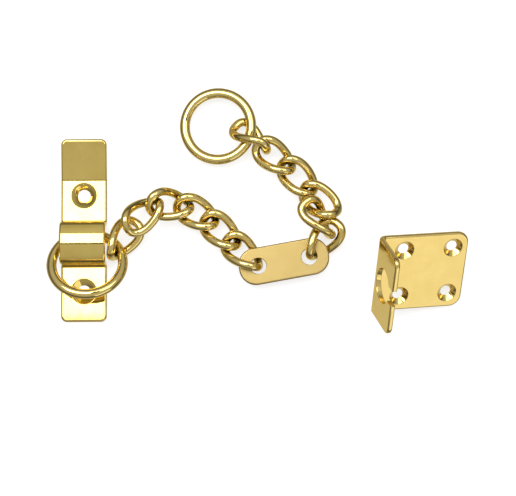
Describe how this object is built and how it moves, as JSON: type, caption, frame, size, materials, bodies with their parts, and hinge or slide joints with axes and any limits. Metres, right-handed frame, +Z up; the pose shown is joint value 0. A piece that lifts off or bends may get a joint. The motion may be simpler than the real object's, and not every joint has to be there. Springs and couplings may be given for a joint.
{
  "type": "door chain guard",
  "caption": "Brass door chain guard: frame plate with saddle and captive ring, curb chain with flat tag and stop ring, and an angle bracket with a keyhole for the door.",
  "frame": {"origin": "middle of the bounding box in plan, on the surface that the guard lies on", "axes": "+X from the frame plate to the door bracket, +Y along the frame plate towards its raised end, +Z up from the surface"},
  "size_m": [0.173, 0.1036, 0.0445],
  "materials": {
    "frame_plate_brass": "polished",
    "captive_ring_brass": "polished",
    "link_01_brass": "polished",
    "link_02_brass": "polished",
    "link_03_brass": "polished",
    "link_04_brass": "polished",
    "link_05_brass": "polished",
    "link_06_brass": "polished",
    "tag_plate_brass": "polished",
    "link_07_brass": "polished",
    "link_08_brass": "polished",
    "link_09_brass": "polished",
    "link_10_brass": "polished",
    "link_11_brass": "polished",
    "link_12_brass": "polished",
    "stop_ring_brass": "polished",
    "door_bracket_brass": "polished"
  },
  "bodies": {
    "frame_plate": {"frame_plate": "frame_plate_brass"},
    "captive_ring": {"captive_ring": "captive_ring_brass"},
    "link_01": {"link_01": "link_01_brass"},
    "link_02": {"link_02": "link_02_brass"},
    "link_03": {"link_03": "link_03_brass"},
    "link_04": {"link_04": "link_04_brass"},
    "link_05": {"link_05": "link_05_brass"},
    "link_06": {"link_06": "link_06_brass"},
    "tag_plate": {"tag_plate": "tag_plate_brass"},
    "link_07": {"link_07": "link_07_brass"},
    "link_08": {"link_08": "link_08_brass"},
    "link_09": {"link_09": "link_09_brass"},
    "link_10": {"link_10": "link_10_brass"},
    "link_11": {"link_11": "link_11_brass"},
    "link_12": {"link_12": "link_12_brass"},
    "stop_ring": {"stop_ring": "stop_ring_brass"},
    "door_bracket": {"door_bracket": "door_bracket_brass"}
  },
  "joints": [
    {"name": "captive_ring_swing", "type": "hinge", "parent": "frame_plate", "child": "captive_ring", "pos_m": [-0.06972, -0.01273, 0.004], "axis": [1, 0, 0], "range_deg": [-120, 30]},
    {"name": "link_01_swing", "type": "hinge", "parent": "captive_ring", "child": "link_01", "pos_m": [-0.05882, -0.01623, 0.007], "axis": [-0.3805, 0.771, -0.5107], "range_deg": [-10, 12]},
    {"name": "link_02_swing", "type": "hinge", "parent": "link_01", "child": "link_02", "pos_m": [-0.05132, -0.00573, 0.0115], "axis": [0, 0, -1], "range_deg": [-30, 30]},
    {"name": "link_03_swing", "type": "hinge", "parent": "link_02", "child": "link_03", "pos_m": [-0.04182, 0.00327, 0.009], "axis": [0, 0, -1], "range_deg": [-30, 14]},
    {"name": "link_04_swing", "type": "hinge", "parent": "link_03", "child": "link_04", "pos_m": [-0.03032, 0.00277, 0.0055], "axis": [0, 0, 1], "range_deg": [-12, 30]},
    {"name": "link_05_swing", "type": "hinge", "parent": "link_04", "child": "link_05", "pos_m": [-0.01932, -0.00373, 0.005], "axis": [0, 0, -1], "range_deg": [-30, 10]},
    {"name": "link_06_swing", "type": "hinge", "parent": "link_05", "child": "link_06", "pos_m": [-0.01032, -0.01273, 0.0055], "axis": [0, 0, -1], "range_deg": [-24, 12]},
    {"name": "tag_plate_swing", "type": "hinge", "parent": "link_06", "child": "tag_plate", "pos_m": [0.00068, -0.02273, 0.0065], "axis": [0, 0, -1], "range_deg": [-20, 60]},
    {"name": "link_07_swing", "type": "hinge", "parent": "tag_plate", "child": "link_07", "pos_m": [0.02178, -0.01903, 0.0063], "axis": [0, 0, 1], "range_deg": [-60, 14]},
    {"name": "link_08_swing", "type": "hinge", "parent": "link_07", "child": "link_08", "pos_m": [0.02918, -0.00823, 0.0075], "axis": [0, 0, -1], "range_deg": [-14, 12]},
    {"name": "link_09_swing", "type": "hinge", "parent": "link_08", "child": "link_09", "pos_m": [0.03068, 0.00027, 0.009], "axis": [0, 0, 1], "range_deg": [-6, 10]},
    {"name": "link_10_swing", "type": "hinge", "parent": "link_09", "child": "link_10", "pos_m": [0.02168, 0.00977, 0.0055], "axis": [0, 0, -1], "range_deg": [-16, 14]},
    {"name": "link_11_swing", "type": "hinge", "parent": "link_10", "child": "link_11", "pos_m": [0.01268, 0.01877, 0.007], "axis": [0, 0, 1], "range_deg": [-30, 24]},
    {"name": "link_12_swing", "type": "hinge", "parent": "link_11", "child": "link_12", "pos_m": [0.00268, 0.02727, 0.009], "axis": [0, 0, 1], "range_deg": [-20, 14]},
    {"name": "stop_ring_swing", "type": "hinge", "parent": "link_12", "child": "stop_ring", "pos_m": [-0.00202, 0.03677, 0.007], "axis": [-0.0725, 0.997, 0.026], "range_deg": [-60, 20]},
    {"name": "door_bracket_apart", "type": "slide", "parent": "frame_plate", "child": "door_bracket", "axis": [1, 0, 0], "range_m": [0, 0.06]}
  ]
}
